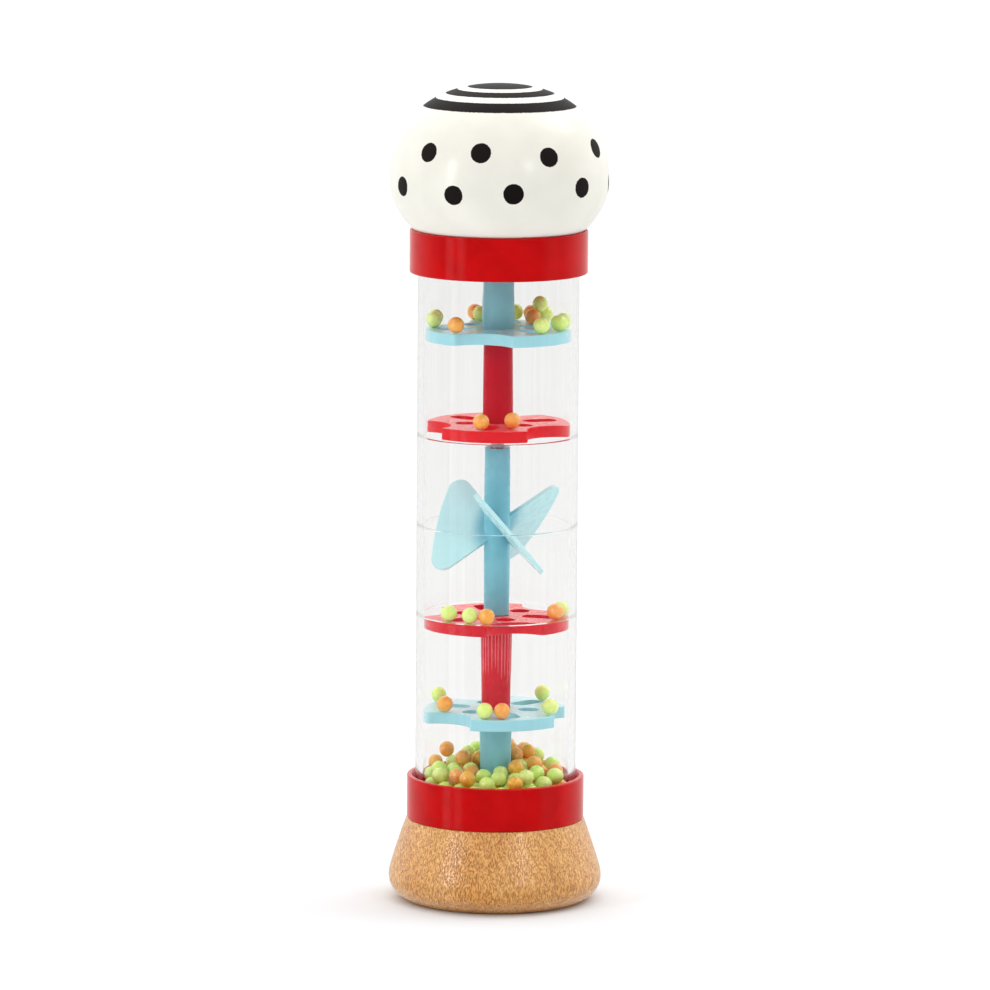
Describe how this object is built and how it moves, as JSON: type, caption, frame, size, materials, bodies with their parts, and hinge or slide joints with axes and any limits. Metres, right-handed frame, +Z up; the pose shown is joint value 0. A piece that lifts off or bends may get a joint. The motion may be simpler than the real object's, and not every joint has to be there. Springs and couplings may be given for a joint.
{
  "type": "rainstick",
  "caption": "Toddler's standing rainstick: clear tube with perforated tiers, a free spinner and falling beads between a flared wooden base and a painted wooden knob.",
  "frame": {"origin": "centre of the flat underside of the wooden base", "axes": "+Z up along the tube's axis, -Y towards the front"},
  "size_m": [0.0532, 0.0532, 0.2006],
  "materials": {
    "beech": "satin",
    "painted_wood": "satin",
    "red_plastic": "gloss",
    "blue_plastic": "gloss",
    "clear_plastic": "gloss",
    "green_beads": "satin",
    "orange_beads": "satin",
    "steel": "satin"
  },
  "bodies": {
    "rainmaker": {"base": "beech", "knob": "painted_wood", "base_screws": "steel", "knob_screws": "steel", "spinner_axle": "steel", "lower_collar": "red_plastic", "upper_collar": "red_plastic", "lower_floor": "red_plastic", "upper_floor": "red_plastic", "lower_red_tier": "red_plastic", "upper_red_tier": "red_plastic", "lower_blue_tier": "blue_plastic", "upper_blue_tier": "blue_plastic", "lower_tube": "clear_plastic", "lower_chamber_tube": "clear_plastic", "upper_chamber_tube": "clear_plastic", "upper_tube": "clear_plastic"},
    "spinner": {"spinner": "blue_plastic"},
    "beads_floor": {"green_beads_floor": "green_beads", "orange_beads_floor": "orange_beads"},
    "beads_lower_blue": {"green_beads_lower_blue": "green_beads", "orange_beads_lower_blue": "orange_beads"},
    "beads_lower_red": {"green_beads_lower_red": "green_beads", "orange_beads_lower_red": "orange_beads"},
    "beads_upper_red": {"orange_beads_upper_red": "orange_beads"},
    "beads_upper_blue": {"green_beads_upper_blue": "green_beads", "orange_beads_upper_blue": "orange_beads"}
  },
  "joints": [
    {"name": "spinner_spin", "type": "hinge", "parent": "rainmaker", "child": "spinner", "pos_m": [0, 0, 0.092], "axis": [0, 0, 1], "continuous": true},
    {"name": "beads_floor_lift", "type": "slide", "parent": "rainmaker", "child": "beads_floor", "axis": [0, 0, 1], "range_m": [0, 0.006]},
    {"name": "beads_lower_blue_lift", "type": "slide", "parent": "rainmaker", "child": "beads_lower_blue", "axis": [0, 0, 1], "range_m": [0, 0.015]},
    {"name": "beads_lower_red_lift", "type": "slide", "parent": "rainmaker", "child": "beads_lower_red", "axis": [0, 0, 1], "range_m": [0, 0.005]},
    {"name": "beads_upper_red_lift", "type": "slide", "parent": "rainmaker", "child": "beads_upper_red", "axis": [0, 0, 1], "range_m": [0, 0.015]},
    {"name": "beads_upper_blue_lift", "type": "slide", "parent": "rainmaker", "child": "beads_upper_blue", "axis": [0, 0, 1], "range_m": [0, 0.01]}
  ]
}
